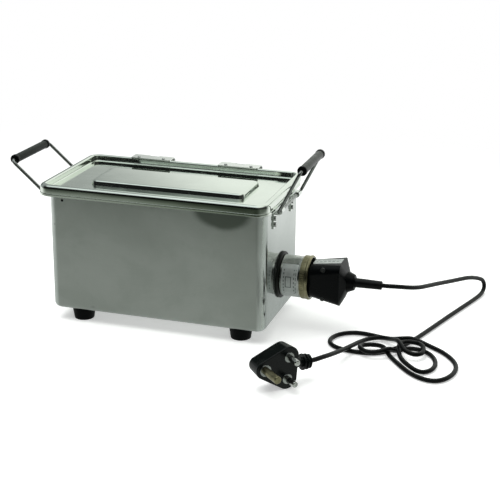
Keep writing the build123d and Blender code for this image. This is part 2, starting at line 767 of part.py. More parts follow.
# ---------------------------------------------------------------- plug frame
PIN_PITCH, EARTH_OFF = 25.4, 28.6    # 16 A three-pin pattern
PIN_R, EARTH_PIN_R = 3.53, 4.355
PIN_LEN, EARTH_PIN_LEN = 18.6, 28.6
SHANK_STEP = 0.5                     # the moulded-in shank is this much smaller in radius
PLUG_DEPTH = 25.0                    # body depth behind the face
FACE_TURN, ROLL = radians(45.0), radians(5.0)
face_normal = Vector(sin(FACE_TURN), -cos(FACE_TURN), 0)
face_level = Vector(cos(FACE_TURN), sin(FACE_TURN), 0)
plug_x = face_level * cos(ROLL) + Vector(0, 0, -sin(ROLL))   # from the earth pin to the boot
PLUG_CENTRE = Vector(198.5, -178.2, 25.35)
PLUG_FACE = Plane(origin=PLUG_CENTRE, x_dir=plug_x, z_dir=face_normal)
FACE_AXIS = Axis(PLUG_CENTRE, face_normal)
LIVE, NEUTRAL, EARTH = (0, PIN_PITCH / 2), (0, -PIN_PITCH / 2), (-EARTH_OFF, 0)
BOOT = Plane(origin=PLUG_FACE.from_local_coords((8.0, 0, -12.0)),
             x_dir=face_normal, z_dir=plug_x)

# ---------------------------------------------------------------- cord
CORD_START_X = (243.0, 270.0)        # straight run out of the connector, on its axis
BOOT_STATIONS = (29.0, 9.5)          # last points, along the boot's axis
# corners of the cord's run in between: x, y, z
CORD_POINTS = [
    (280.1, 7.6, 65.1), (287.1, 13.8, 63.1), (293.3, 21.1, 60.7), (298.6, 29.1, 58.3),
    (303.2, 37.6, 56.1), (307.0, 46.6, 54.1), (319.6, 83.9, 46.7), (326.7, 102.4, 43.0),
    (334.2, 120.7, 39.6), (345.9, 148.1, 34.9), (349.8, 157.1, 33.0), (353.6, 166.0, 30.5),
    (357.3, 174.6, 27.6), (360.9, 183.0, 24.1), (364.0, 190.8, 20.4), (365.9, 194.7, 15.7),
    (367.0, 195.8, 11.0), (367.0, 193.1, 7.1), (366.1, 187.1, 4.6), (364.7, 179.4, 3.3),
    (359.9, 160.4, 3.3), (338.1, 93.6, 3.3), (317.5, 26.4, 3.3), (308.0, -2.1, 3.3),
    (304.5, -11.4, 3.3), (300.5, -20.6, 3.3), (295.9, -29.4, 3.3), (285.4, -45.5, 3.3),
    (278.9, -52.5, 3.3), (271.5, -57.7, 3.3), (262.6, -60.4, 3.3), (253.1, -61.2, 3.3),
    (243.4, -60.8, 3.3), (234.0, -59.2, 3.3), (225.2, -56.0, 3.3), (217.8, -50.7, 3.3),
    (212.9, -43.5, 3.3), (211.1, -35.0, 3.3), (212.4, -26.2, 3.3), (216.2, -17.9, 3.3),
    (222.1, -10.8, 3.3), (229.7, -5.8, 3.3), (238.5, -3.3, 3.3), (247.9, -3.4, 3.3),
    (257.4, -5.2, 3.3), (276.5, -10.1, 3.4), (286.3, -11.5, 5.0), (296.2, -12.1, 7.4),
    (306.2, -12.5, 9.0), (316.0, -13.4, 6.8), (325.3, -15.8, 4.6), (334.1, -20.0, 3.3),
    (342.0, -25.7, 3.3), (349.1, -32.5, 3.3), (355.5, -40.0, 3.3), (361.0, -48.2, 3.3),
    (365.3, -56.9, 3.3), (368.0, -66.2, 3.3), (368.8, -75.8, 3.3), (367.8, -85.4, 3.3),
    (365.4, -94.7, 3.3), (361.5, -103.1, 3.3), (356.0, -109.8, 3.3), (348.7, -113.3, 3.3),
    (340.4, -112.8, 3.3), (332.1, -109.2, 3.3), (324.4, -103.7, 3.3), (317.2, -97.2, 3.3),
    (310.7, -89.6, 3.3), (304.5, -81.6, 3.3), (292.7, -65.4, 3.3), (286.7, -57.6, 4.7),
    (280.8, -50.1, 8.9), (274.4, -44.0, 7.9), (266.8, -40.9, 6.7), (259.3, -41.6, 6.2),
    (253.8, -46.1, 6.6), (251.8, -53.2, 7.9), (253.5, -60.6, 9.5), (258.5, -66.6, 8.9),
    (265.8, -69.3, 8.7), (274.0, -68.2, 9.4), (281.6, -63.8, 10.7), (288.0, -57.1, 11.6),
    (291.9, -49.0, 5.7), (296.5, -41.1, 3.3), (301.9, -34.3, 3.3), (309.1, -30.4, 3.3),
    (317.4, -30.3, 3.3), (325.5, -33.5, 3.3), (332.5, -39.3, 3.3), (338.0, -46.9, 3.3),
    (341.8, -55.7, 3.3), (344.0, -65.0, 3.3), (344.3, -74.4, 3.3), (342.6, -83.4, 3.3),
    (338.4, -90.5, 3.3), (332.9, -95.1, 3.8), (326.4, -95.6, 5.3), (319.8, -92.4, 7.1),
    (314.0, -85.8, 7.5), (308.7, -78.0, 7.0), (304.1, -69.5, 6.7), (300.4, -60.5, 7.3),
    (297.9, -51.2, 8.7), (296.3, -41.9, 9.5), (296.3, -33.0, 9.2), (300.3, -27.2, 9.2),
    (305.5, -23.6, 8.9), (311.7, -23.2, 8.7), (318.3, -25.3, 8.7), (323.4, -32.3, 9.3),
    (325.9, -40.6, 8.4), (326.0, -49.3, 7.5), (322.4, -55.3, 7.8), (317.6, -59.2, 8.7),
    (311.6, -59.7, 10.2), (305.2, -57.7, 12.3), (300.0, -50.7, 15.4), (295.5, -42.4, 16.4),
    (290.7, -33.9, 13.8), (285.3, -26.1, 10.5), (278.9, -19.5, 7.9), (271.8, -15.2, 6.2),
    (264.4, -14.7, 5.1), (258.0, -18.9, 4.8), (253.1, -26.1, 5.4), (249.4, -34.7, 6.3),
    (246.5, -44.0, 7.5), (244.1, -53.6, 8.7), (237.4, -82.6, 13.0), (231.0, -111.3, 18.7),
    (228.3, -120.7, 20.5), (224.6, -129.7, 21.7),
]
CORNER_SHARE = 0.49                  # most of a run that the bend at one end may use
END_RUN_FACTOR = 1.8                 # the end runs have one bend only, which may use more
STRAIGHT = 0.0005                    # half turn, in radians, below which a corner is skipped


def cord():
    points = [Vector(x, 0, AXIS_Z) for x in CORD_START_X]
    points += [Vector(*point) for point in CORD_POINTS]
    points += [BOOT.from_local_coords((0, 0, along)) for along in BOOT_STATIONS]
    last = len(points) - 1
    with BuildPart() as flex:
        with BuildLine() as path:
            here = points[0]
            for i in range(1, last):
                # a round bend at each corner, tangent to the straight runs on both sides
                corner = points[i]
                before, after = corner - points[i - 1], points[i + 1] - corner
                way_in, way_out = before.normalized(), after.normalized()
                half_turn = acos(max(-1.0, min(1.0, way_in.dot(way_out)))) / 2
                if half_turn < STRAIGHT:
                    continue
                usable_before = before.length * (END_RUN_FACTOR if i == 1 else 1)
                usable_after = after.length * (END_RUN_FACTOR if i == last - 1 else 1)
                setback = CORNER_SHARE * min(usable_before, usable_after)
                bend_r = setback / tan(half_turn)
                to_centre = (way_out - way_in).normalized()
                middle = corner + to_centre * (bend_r * (1 / cos(half_turn) - 1))
                bend_start = corner - way_in * setback
                bend_end = corner + way_out * setback
                Line(here, bend_start)
                ThreePointArc(bend_start, middle, bend_end)
                here = bend_end
            Line(here, points[last])
        with BuildSketch(Plane(origin=points[0], z_dir=points[1] - points[0])):
            Circle(CORD_R)
        sweep(path=path.line)
    return flex.part


# ---------------------------------------------------------------- three-pin plug, on its edge
PLUG_PINS = {                        # place on the face, radius, length
    "live": (LIVE, PIN_R, PIN_LEN),
    "neutral": (NEUTRAL, PIN_R, PIN_LEN),
    "earth": (EARTH, EARTH_PIN_R, EARTH_PIN_LEN),
}
BOOT_RIBS = ((15.6, 9.4), (20.2, 9.0), (23.9, 8.2))   # distance along the boot, radius


def plug_circles(radius, earth_radius, mode=Mode.ADD):
    circles([LIVE, NEUTRAL], radius, mode)
    circles([EARTH], earth_radius, mode)


def plug_body():
    with BuildPart() as body:
        with BuildSketch(PLUG_FACE):
            plug_circles(12.6, 10.8)
            make_hull()
        extrude(amount=-PLUG_DEPTH, taper=5)
        fillet(body.faces().sort_by(FACE_AXIS)[0].edges(), 4.0)
        fillet(body.faces().sort_by(FACE_AXIS)[-1].edges(), 1.2)
        # bores for the shanks, with shallow recesses for the pin collars
        with BuildSketch(PLUG_FACE.offset(0.5)):
            plug_circles(PIN_R - SHANK_STEP, EARTH_PIN_R - SHANK_STEP)
        extrude(amount=-16.5, mode=Mode.SUBTRACT)
        with BuildSketch(PLUG_FACE.offset(-1.0)):
            plug_circles(5.9, 6.8)
        extrude(amount=3, mode=Mode.SUBTRACT)
        # socket for the boot
        with BuildSketch(BOOT):
            Circle(5.6)
        extrude(amount=20, mode=Mode.SUBTRACT)
    return body.part


def plug_boot():
    with BuildPart() as boot:
        with BuildSketch(BOOT):
            Circle(5.55)
        extrude(amount=25.3)
        for along, radius in BOOT_RIBS:
            with BuildSketch(BOOT.offset(along)):
                Circle(radius)
            extrude(amount=1.7)
        fillet(circle_edges(boot).filter_by(lambda e: e.radius > 7.0), 0.5)
        with BuildSketch(BOOT.offset(9.0)):
            Circle(CORD_R + 0.3)
        extrude(amount=30, mode=Mode.SUBTRACT)
    return boot.part


def plug_pin(spot, radius, length):
    start = 0.95
    with BuildPart() as pin:
        with BuildSketch(PLUG_FACE.offset(start)):
            circles([spot], radius)
        extrude(amount=length - start)
        with BuildSketch(PLUG_FACE.offset(-15.0)):
            circles([spot], radius - SHANK_STEP)
        extrude(amount=17.0)
        fillet(circle_edges(pin).sort_by(FACE_AXIS)[-1], 1.4)
    return pin.part


def plug_pin_collars():
    bore_step = SHANK_STEP - 0.02
    with BuildPart() as collars:
        with BuildSketch(PLUG_FACE.offset(-0.98)):
            plug_circles(5.85, 6.75)
            plug_circles(PIN_R - bore_step, EARTH_PIN_R - bore_step, mode=Mode.SUBTRACT)
        extrude(amount=1.9)
        outer_edges = collars.faces().group_by(FACE_AXIS)[-1].edges()
        fillet(outer_edges.filter_by(lambda e: e.radius > 5), 0.5)
    return collars.part


# ---------------------------------------------------------------- lift-out tray over the heater
TRAY_Z = AXIS_Z + 9.0                # underside of the tray
TRAY_CENTRE = (-6.0, 0)
TRAY = (TANK_L - 26.0, TANK_W - 8.0, 9.0)
TRAY_T, TRAY_H = 1.0, 7.0            # sheet thickness, height of the rim
TRAY_WIRE_R = 1.75
LEG_X, LEG_Y = (-96.0, 84.0), 58
LEG_Z = FOOT_H + SHEET + TRAY_WIRE_R + 0.05   # wire axis just clear of the tank bottom
LOOP_X, LOOP_Y = (-118.0, 106.0), 18
LOOP_Z0, LOOP_Z1 = TRAY_Z + TRAY_T, TRAY_Z + 42


def tray():
    with BuildPart() as plate:
        with BuildSketch(Plane.XY.offset(TRAY_Z)):
            with Locations(TRAY_CENTRE):
                inset_rect(TRAY)
                with GridLocations(22.0, 20.0, 10, 6):
                    Circle(3.0, mode=Mode.SUBTRACT)
        extrude(amount=TRAY_T)
        with BuildSketch(Plane.XY.offset(TRAY_Z)):
            with Locations(TRAY_CENTRE):
                inset_rect(TRAY)
                inset_rect(TRAY, TRAY_T, mode=Mode.SUBTRACT)
        extrude(amount=TRAY_H)
    return plate.part


def tray_wires(stations, half_y, start_z, far_z, bend_r, start_dir):
    # one U-shaped wire across the tray at each x station
    with BuildPart() as wires:
        for x in stations:
            with BuildLine(Plane(origin=(x, 0, 0), x_dir=(0, 1, 0), z_dir=(1, 0, 0))) as path:
                FilletPolyline((-half_y, start_z), (-half_y, far_z), (half_y, far_z),
                               (half_y, start_z), radius=bend_r)
            with BuildSketch(Plane(origin=(x, -half_y, start_z), x_dir=(1, 0, 0),
                                   z_dir=(0, 0, start_dir))):
                Circle(TRAY_WIRE_R)
            sweep(path=path.wires()[0])
    return wires.part


# ---------------------------------------------------------------- build and save every piece
save("tank_shell", tank_shell())
save("lid", lid())

for side_name, side in (("left", -1), ("right", 1)):
    hinge_x = LID_CX + side * HINGE_OFF
    save("hinge_lid_leaf_" + side_name, hinge_lid_leaf(hinge_x))
    save("hinge_tank_leaf_" + side_name, hinge_tank_leaf(hinge_x))
    save("hinge_pin_" + side_name, hinge_pin(hinge_x))
save("hinge_rivets_lid", hinge_rivets_lid())
save("hinge_rivets_tank", hinge_rivets_tank())

for side_name, side, pivot_out, pivot_z, angle, arm_length in BAILS:
    arm = Vector(side * cos(radians(angle)), 0, sin(radians(angle)))
    pivot_x = side * pivot_out
    save("handle_wire_" + side_name, handle_wire(pivot_x, pivot_z, arm, arm_length))
    save("handle_grip_" + side_name,
         handle_grip(pivot_x + arm.X * arm_length, pivot_z + arm.Z * arm_length))
    save("handle_lugs_" + side_name, handle_lugs(side, pivot_out, pivot_z))
    save("lug_rivets_" + side_name, lug_rivets(side))

for foot_name, spot in FEET.items():
    save("foot_" + foot_name, foot(spot))
save("foot_studs", foot_studs())
save("foot_washers", foot_washers())
save("foot_nuts", foot_nuts())

save("heater_gasket_inner", heater_gasket_inner())
save("heater_gasket_outer", heater_gasket_outer())
save("heater_head", heater_head())
save("heater_element", heater_element())
save("heater_lock_nut", heater_lock_nut())
save("terminal_can", terminal_can())
save("can_collar", can_collar())
save("can_label", can_label())
save("terminal_block", terminal_block())
for pin_name in TERMINALS:
    save("terminal_pin_" + pin_name, terminal_pin(pin_name))

core_part = connector_core()
save("connector_half_front", connector_half(core_part, Keep.TOP))
save("connector_half_rear", connector_half(core_part, Keep.BOTTOM))
save("connector_contacts", connector_contacts())
save("connector_screws", connector_screws())
save("connector_collar", connector_collar())
save("cord_sleeve", cord_sleeve())
save("connector_label", connector_label())

save("cord", cord())
save("plug_body", plug_body())
save("plug_boot", plug_boot())
for pin_name, pin_size in PLUG_PINS.items():
    save("plug_pin_" + pin_name, plug_pin(*pin_size))
save("plug_pin_collars", plug_pin_collars())

save("tray", tray())
save("tray_legs", tray_wires(LEG_X, LEG_Y, TRAY_Z, LEG_Z, bend_r=6, start_dir=-1))
save("tray_loops", tray_wires(LOOP_X, LOOP_Y, LOOP_Z0, LOOP_Z1, bend_r=8, start_dir=1))
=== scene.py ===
"""Lidded steel tank with wire handles, a terminal can and a plug-in flex.

Metres, +Z up, standing on z = 0. The long walls run along x, the front is at -y,
and the flex leaves the connector at the right (+x) and lies in a heap on the floor.
"""
import json
import math

import bmesh
import bpy
from mathutils import Matrix, Vector


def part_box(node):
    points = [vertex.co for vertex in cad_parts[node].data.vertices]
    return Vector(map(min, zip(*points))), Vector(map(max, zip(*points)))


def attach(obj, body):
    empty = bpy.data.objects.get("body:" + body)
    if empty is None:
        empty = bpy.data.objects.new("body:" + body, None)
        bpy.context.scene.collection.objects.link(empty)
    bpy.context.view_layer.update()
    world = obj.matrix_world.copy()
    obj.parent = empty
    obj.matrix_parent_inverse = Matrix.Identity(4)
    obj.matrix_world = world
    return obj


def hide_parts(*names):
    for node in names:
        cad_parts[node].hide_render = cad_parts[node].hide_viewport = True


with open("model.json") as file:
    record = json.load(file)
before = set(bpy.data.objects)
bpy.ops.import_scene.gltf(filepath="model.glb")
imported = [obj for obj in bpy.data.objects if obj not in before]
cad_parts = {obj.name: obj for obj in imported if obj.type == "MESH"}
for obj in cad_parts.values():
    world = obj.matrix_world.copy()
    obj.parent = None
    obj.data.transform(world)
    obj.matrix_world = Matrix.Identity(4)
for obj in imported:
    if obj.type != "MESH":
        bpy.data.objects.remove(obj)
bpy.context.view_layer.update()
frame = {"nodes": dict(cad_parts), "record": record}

MM = 0.001
WALL_Y = 0.074              # the long walls lie at plus and minus this y

CORD_RADIUS = 0.00275
CORD_STEP = 0.0024          # spacing of the rings along the flex
CORD_SIDES = 20

FERRULE_OVERHANG = 0.0006   # how far a ferrule stands out past the end of its grip
FERRULE_STEPS = 48
STUD_PLACE = (-0.1191, -WALL_Y, 0.1576)
STUD_STEPS = 32
TIP_RADIUS = 1e-5           # keeps a turned shape open at its axis

SEAM_HALF_WIDTH = 0.004
SEAM_SLOPE = 0.0004         # width of each sloping edge
SEAM_PROUD = 0.0005
SEAM_SUNK = 0.0002
SEAM_BOTTOM, SEAM_TOP = 0.024, 0.160
SEAM_STEPS = 24

CAN_LABEL_RADIUS = 0.0258
PRINT_SOFTNESS = 0.00012    # width over which a printed edge fades
CREASE_ANGLE = 30.0         # degrees


# ---------------------------------------------------------------- node graphs
class Graph:
    """Adds nodes to a tree. Any input may be a value or another node's output."""

    def __init__(self, tree):
        self.tree = tree

    def put(self, socket, value):
        if isinstance(value, bpy.types.NodeSocket):
            self.tree.links.new(value, socket)
        elif socket.type == "RGBA":
            socket.default_value = (*value, 1.0)
        else:
            socket.default_value = value

    def add(self, kind, inputs=None, **settings):
        made = self.tree.nodes.new(kind)
        for key, value in settings.items():
            setattr(made, key, value)
        for key, value in (inputs or {}).items():
            self.put(made.inputs[key], value)
        return made

    def calc(self, operation, *values, clamp=False):
        made = self.add("ShaderNodeMath", dict(enumerate(values)),
                        operation=operation, use_clamp=clamp)
        return made.outputs[0]

    def plus(self, first, second, clamp=False):
        return self.calc("ADD", first, second, clamp=clamp)

    def minus(self, first, second, clamp=False):
        return self.calc("SUBTRACT", first, second, clamp=clamp)

    def times(self, first, second):
        return self.calc("MULTIPLY", first, second)

    def length(self, first, second):
        squares = self.plus(self.times(first, first), self.times(second, second))
        return self.calc("SQRT", squares)

    def ramp(self, value, span, to=(0.0, 1.0), kind="LINEAR"):
        """Carries the range span over to the range to, and holds its ends."""
        inputs = {"Value": value, "From Min": span[0], "From Max": span[1],
                  "To Min": to[0], "To Max": to[1]}
        return self.add("ShaderNodeMapRange", inputs, interpolation_type=kind).outputs[0]

    def fade(self, value, span, to=(0.0, 1.0)):
        """A ramp with eased ends."""
        return self.ramp(value, span, to, kind="SMOOTHSTEP")

    def object_place(self):
        return self.add("ShaderNodeTexCoord").outputs["Object"]

    def normal(self):
        return self.add("ShaderNodeNewGeometry").outputs["Normal"]

    def split(self, vector):
        return self.add("ShaderNodeSeparateXYZ", {0: vector}).outputs

    def mapped(self, vector, scale=(1, 1, 1), location=(0, 0, 0), rotation=(0, 0, 0)):
        inputs = {"Scale": scale, "Location": location, "Rotation": rotation, "Vector": vector}
        return self.add("ShaderNodeMapping", inputs).outputs[0]

    def noise(self, vector, scale, detail, rough, distort=0.0):
        inputs = {"Scale": scale, "Detail": detail, "Roughness": rough,
                  "Distortion": distort, "Vector": vector}
        return self.add("ShaderNodeTexNoise", inputs).outputs["Fac"]

    def paint(self, base, colour, mask, strength=None):
        """Lays colour over base where mask is 1."""
        if strength is not None:
            mask = self.times(mask, strength)
        return self.add("ShaderNodeMix", {0: mask, 6: base, 7: colour},
                        data_type="RGBA").outputs[2]

    def mix(self, first, second, amount):
        return self.add("ShaderNodeMix", {0: amount, 2: first, 3: second},
                        data_type="FLOAT").outputs[0]

    def bump(self, height, strength, distance, under=None):
        inputs = {"Strength": strength, "Distance": distance, "Height": height}
        if under is not None:
            inputs["Normal"] = under
        return self.add("ShaderNodeBump", inputs).outputs[0]

    def edge_mask(self, radius):
        """1 on sharp or tightly rounded edges, 0 on flat faces."""
        bevel = self.add("ShaderNodeBevel", {"Radius": radius}, samples=4)
        dot = self.add("ShaderNodeVectorMath", {0: bevel.outputs[0], 1: self.normal()},
                       operation="DOT_PRODUCT")
        bend = self.minus(1.0, dot.outputs["Value"], clamp=True)
        return self.fade(bend, span=(0.02, 0.35))

    def emission(self, colour):
        return self.add("ShaderNodeEmission", {"Color": colour}).outputs[0]

    def mix_shader(self, amount, first, second):
        return self.add("ShaderNodeMixShader", {0: amount, 1: first, 2: second}).outputs[0]

    def principled(self, colour, rough, **others):
        """Other inputs are named with underscores for spaces."""
        inputs = {"Base Color": colour, "Roughness": rough}
        inputs.update({key.replace("_", " "): value for key, value in others.items()})
        return self.add("ShaderNodeBsdfPrincipled", inputs).outputs[0]

    def finish(self, shader):
        self.add("ShaderNodeOutputMaterial", {0: shader})


MATERIALS = {}


def new_material(name):
    made = bpy.data.materials.new(name)
    made.use_nodes = True
    made.node_tree.nodes.clear()
    MATERIALS[name] = made
    return Graph(made.node_tree)


# ---------------------------------------------------------------- sheet steel
# Darkened ovals on the front wall: a painted dark reflection under the rim right of centre, a
# wide band of painted shade under the rim overhang, and two small dark spots.
# centre x, z; half width, half height; distance where the fade starts and ends; wobble of the
# edge; strength; colour
FRONT_OVALS = [
    (0.086, 0.166, 0.040, 0.027, 0.72, 1.06, 0.05, 0.80, (0.075, 0.095, 0.072)),
    (-0.02, 0.172, 0.12, 0.018, 0.2, 1.0, 0.2, 0.35, (0.12, 0.14, 0.12)),
    (-0.1312, 0.1262, 0.0022, 0.0022, 0.4, 1.0, 0.0, 0.5, (0.12, 0.13, 0.12)),
    (-0.0827, 0.0231, 0.0042, 0.0026, 0.0, 1.0, 0.0, 0.35, (0.2, 0.21, 0.2)),
]


def tank_tone_and_painted_light(graph, colour, place, normal, facing_x, smudge):
    """Painted highlight down the rounded corners, cloudy tone on the walls, and darkened ovals
    on the front: a painted reflection and painted shade under the rim, and two small dark
    spots.
    """
    # painted highlight: a pale band down the rounded vertical corners, between the front and
    # end faces
    corner_highlight = graph.times(graph.fade(facing_x, span=(0.12, 0.45)),
                         graph.fade(facing_x, span=(0.97, 0.80)))
    colour = graph.paint(colour, (0.90, 0.95, 0.92), mask=corner_highlight, strength=0.60)

    cloud = graph.noise(graph.mapped(place, scale=(1.0, 1.0, 1.3), location=(5.0, 2.0, 1.0)),
                        scale=9.0, detail=5.0, rough=0.6, distort=0.5)
    dark = graph.ramp(cloud, span=(0.42, 0.64), to=(0.0, 0.20))
    pale = graph.ramp(cloud, span=(0.48, 0.34), to=(0.0, 0.14))
    colour = graph.paint(colour, (0.24, 0.27, 0.235), mask=dark)
    colour = graph.paint(colour, (0.66, 0.68, 0.66), mask=pale)

    x, y, z = graph.split(place)
    front = graph.ramp(y, span=(-0.0725, -0.0735))
    # each oval darkens the front: painted reflection and painted shade under the rim, and two
    # small dark spots
    for (centre_x, centre_z, half_x, half_z, start, end, wobble, strength,
         tone) in FRONT_OVALS:
        across = graph.calc("DIVIDE", graph.minus(x, centre_x), half_x)
        height = graph.calc("DIVIDE", graph.minus(z, centre_z), half_z)
        distance = graph.length(across, height)
        if wobble:
            shift = graph.ramp(smudge, span=(0.3, 0.7), to=(-wobble, wobble))
            distance = graph.plus(distance, shift)
        inside = graph.fade(distance, span=(start, end), to=(1.0, 0.0))
        colour = graph.paint(colour, tone, mask=graph.times(inside, front), strength=strength)
    return colour


def lid_skirt_painted_reflection(graph, colour, place, normal, facing_x, smudge):
    """The turned-down front skirt gets a painted dark reflection, stronger towards the right.
    """
    front_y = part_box("lid")[0][1]
    x, y, z = graph.split(place)
    near_front = graph.fade(y, span=(front_y + 0.0030, front_y + 0.0010))
    upright = graph.fade(graph.calc("ABSOLUTE", normal[2]), span=(0.75, 0.45))
    rightward = graph.fade(x, span=(-0.11, 0.07), to=(0.45, 0.82))
    # painted reflection: the front of the skirt is darkened
    painted_dark_reflection = graph.times(graph.times(near_front, upright), rightward)
    return graph.paint(colour, (0.16, 0.20, 0.135), mask=painted_dark_reflection)


def sheet_steel(name, base, rough, end_rough, wave, wave_scale, grain=0.10,
                tint=(0.93, 1.0, 0.95), end_face_painted_reflection=None, metallic=1.0, detail=None):
    """Stainless sheet. The grain runs level; faces across x have their own roughness and, if
    given, a painted reflection colour.
    """
    graph = new_material(name)
    place = graph.object_place()
    normal = graph.split(graph.normal())
    facing_x = graph.calc("ABSOLUTE", normal[0])
    end = graph.fade(facing_x, span=(0.55, 0.85))

    long_grain, end_grain = [
        graph.noise(graph.mapped(place, scale=stretch), scale=1.0, detail=5.0, rough=0.7)
        for stretch in ((9.0, 900.0, 1500.0), (900.0, 9.0, 1500.0))]
    streak = graph.mix(long_grain, end_grain, amount=end)
    smudge = graph.noise(graph.mapped(place), scale=16.0, detail=6.0, rough=0.62, distort=0.4)
    blot = graph.noise(graph.mapped(place, location=(3.1, 1.7, 0.4)),
                       scale=55.0, detail=5.0, rough=0.6, distort=0.2)
    scratch = graph.noise(graph.mapped(place, scale=(260.0, 260.0, 34.0),
                                       rotation=(0.5, 0.9, 0.3)),
                          scale=1.0, detail=2.0, rough=0.5, distort=1.2)
    edges = graph.edge_mask(radius=0.0016)

    roughness = graph.mix(rough, end_rough, amount=end)
    for pattern, span, to in ((smudge, (0.35, 0.7), (-0.05, 0.07)),
                              (streak, (0.35, 0.65), (-0.035, 0.045)),
                              (blot, (0.55, 0.75), (0.0, 0.05))):
        roughness = graph.plus(roughness, graph.ramp(pattern, span, to))
    scratched = graph.times(graph.fade(scratch, span=(0.70, 0.74)), 0.10)
    roughness = graph.plus(roughness, scratched, clamp=True)
    roughness = graph.plus(roughness, graph.times(edges, 0.05))

    colour = graph.paint(tuple(base * t * 0.90 for t in tint),
                         tuple(min(1.0, base * t * 1.07) for t in tint),
                         mask=graph.ramp(smudge, span=(0.3, 0.7)))
    colour = graph.paint(colour, tuple(min(1.0, base * t * 1.22) for t in tint),
                         mask=graph.ramp(streak, span=(0.3, 0.7), to=(0.0, 0.22)))
    # painted reflection: the end faces take their own colour, lighter than the long walls on
    # the tank
    if end_face_painted_reflection is not None:
        colour = graph.paint(colour, end_face_painted_reflection, mask=end, strength=0.85)
    if detail is not None:
        colour = detail(graph, colour, place, normal, facing_x, smudge)
    colour = graph.paint(colour, (0.80, 0.84, 0.80), mask=edges, strength=0.35)

    waves = graph.noise(graph.mapped(place, location=(0.2, 0.5, 0.9)),
                        scale=wave_scale, detail=2.0, rough=0.45, distort=0.3)
    relief = graph.bump(waves, strength=wave, distance=0.004)
    relief = graph.bump(streak, strength=grain, distance=0.00006, under=relief)
    graph.finish(graph.principled(colour, roughness, Metallic=metallic, Normal=relief))


# ---------------------------------------------------------------- plated metal
def plated(name, base, rough, tint, spots=0.3, wear_colour=(0.8, 0.8, 0.78)):
    graph = new_material(name)
    place = graph.object_place()
    stain = graph.noise(place, scale=140.0, detail=5.0, rough=0.6, distort=0.3)
    fine = graph.noise(graph.mapped(place, location=(2, 7, 1)),
                       scale=900.0, detail=3.0, rough=0.6)
    colour = graph.paint(tuple(base * t * 0.62 for t in tint),
                         tuple(base * t for t in tint),
                         mask=graph.ramp(stain, span=(0.35, 0.62)))
    colour = graph.paint(colour, wear_colour, mask=graph.edge_mask(radius=0.0006),
                         strength=0.4)
    roughness = graph.plus(
        graph.ramp(stain, span=(0.3, 0.7), to=(rough + 0.12 * spots, rough)),
        graph.ramp(fine, span=(0.3, 0.7), to=(-0.03, 0.05)), clamp=True)
    relief = graph.bump(fine, strength=0.12, distance=0.00005)
    graph.finish(graph.principled(colour, roughness, Metallic=1.0, Normal=relief))


# ---------------------------------------------------------------- mouldings
def moulded(name, base, rough, grain, depth, dust, spec=0.5, sheen=(0.10, 0.13, 0.12),
            coat=0.0):
    """Plastic or rubber with a fine grain, paler edges and dust on upward faces."""
    graph = new_material(name)
    place = graph.object_place()
    pores = graph.noise(place, scale=grain, detail=3.0, rough=0.6)
    smudge = graph.noise(graph.mapped(place, location=(4, 1, 2)),
                         scale=60.0, detail=6.0, rough=0.65, distort=0.3)
    upward = graph.fade(graph.split(graph.normal())[2], span=(0.25, 0.95))
    dusty = graph.times(upward, graph.ramp(smudge, span=(0.38, 0.68), to=(0.0, dust)))

    colour = graph.paint(tuple(c * 0.8 for c in base), tuple(c * 1.25 for c in base),
                         mask=graph.ramp(smudge, span=(0.3, 0.7)))
    colour = graph.paint(colour, sheen, mask=graph.edge_mask(radius=0.0010), strength=0.45)
    colour = graph.paint(colour, (0.05, 0.056, 0.05), mask=dusty)

    roughness = graph.plus(
        graph.ramp(smudge, span=(0.3, 0.7), to=(rough - 0.06, rough + 0.08)),
        graph.ramp(pores, span=(0.3, 0.7), to=(-0.04, 0.05)))
    roughness = graph.plus(roughness, graph.times(dusty, 0.3), clamp=True)
    relief = graph.bump(pores, strength=depth, distance=0.00012)
    relief = graph.bump(smudge, strength=0.06, distance=0.0010, under=relief)
    graph.finish(graph.principled(colour, roughness, Specular_IOR_Level=spec,
                                  Coat_Weight=coat, Coat_Roughness=0.12, Normal=relief))


# ---------------------------------------------------------------- printed labels
def band(graph, value, centre, half):
    """1 where value is within half of centre."""
    distance = graph.calc("ABSOLUTE", graph.minus(value, centre))
    return graph.ramp(distance, span=(half - PRINT_SOFTNESS, half + PRINT_SOFTNESS),
                      to=(1.0, 0.0))


def dashes(graph, along, across, rows, start, stop, pitch):
    """Rows of plain short bars, as (across position, half width, filled part)."""
    ink = None
    inside = band(graph, along, (start + stop) / 2, (stop - start) / 2)
    for k, (centre, half, fill) in enumerate(rows):
        # every row has its own pitch and offset, so the bars don't line up
        steps = graph.calc("DIVIDE", along, pitch * (1 + 0.17 * k))
        phase = graph.calc("FRACT", graph.plus(steps, 0.31 * k + 10.0))
        bar = graph.ramp(phase, span=(fill - 0.03, fill + 0.03), to=(1.0, 0.0))
        row = graph.times(graph.times(bar, band(graph, across, centre, half)), inside)
        ink = row if ink is None else graph.calc("MAXIMUM", ink, row)
    return ink


def ruled_box(graph, across, along, centre, half, line):
    """A thin ruled rectangle."""
    outside = [graph.minus(graph.calc("ABSOLUTE", graph.minus(value, c)), h)
               for value, c, h in zip((across, along), centre, half)]
    distance = graph.calc("ABSOLUTE", graph.calc("MAXIMUM", *outside))
    return graph.ramp(distance, span=(line, line + PRINT_SOFTNESS), to=(1.0, 0.0))


def middle(node_name, axis):
    low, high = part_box(node_name)
    return (low[axis] + high[axis]) / 2


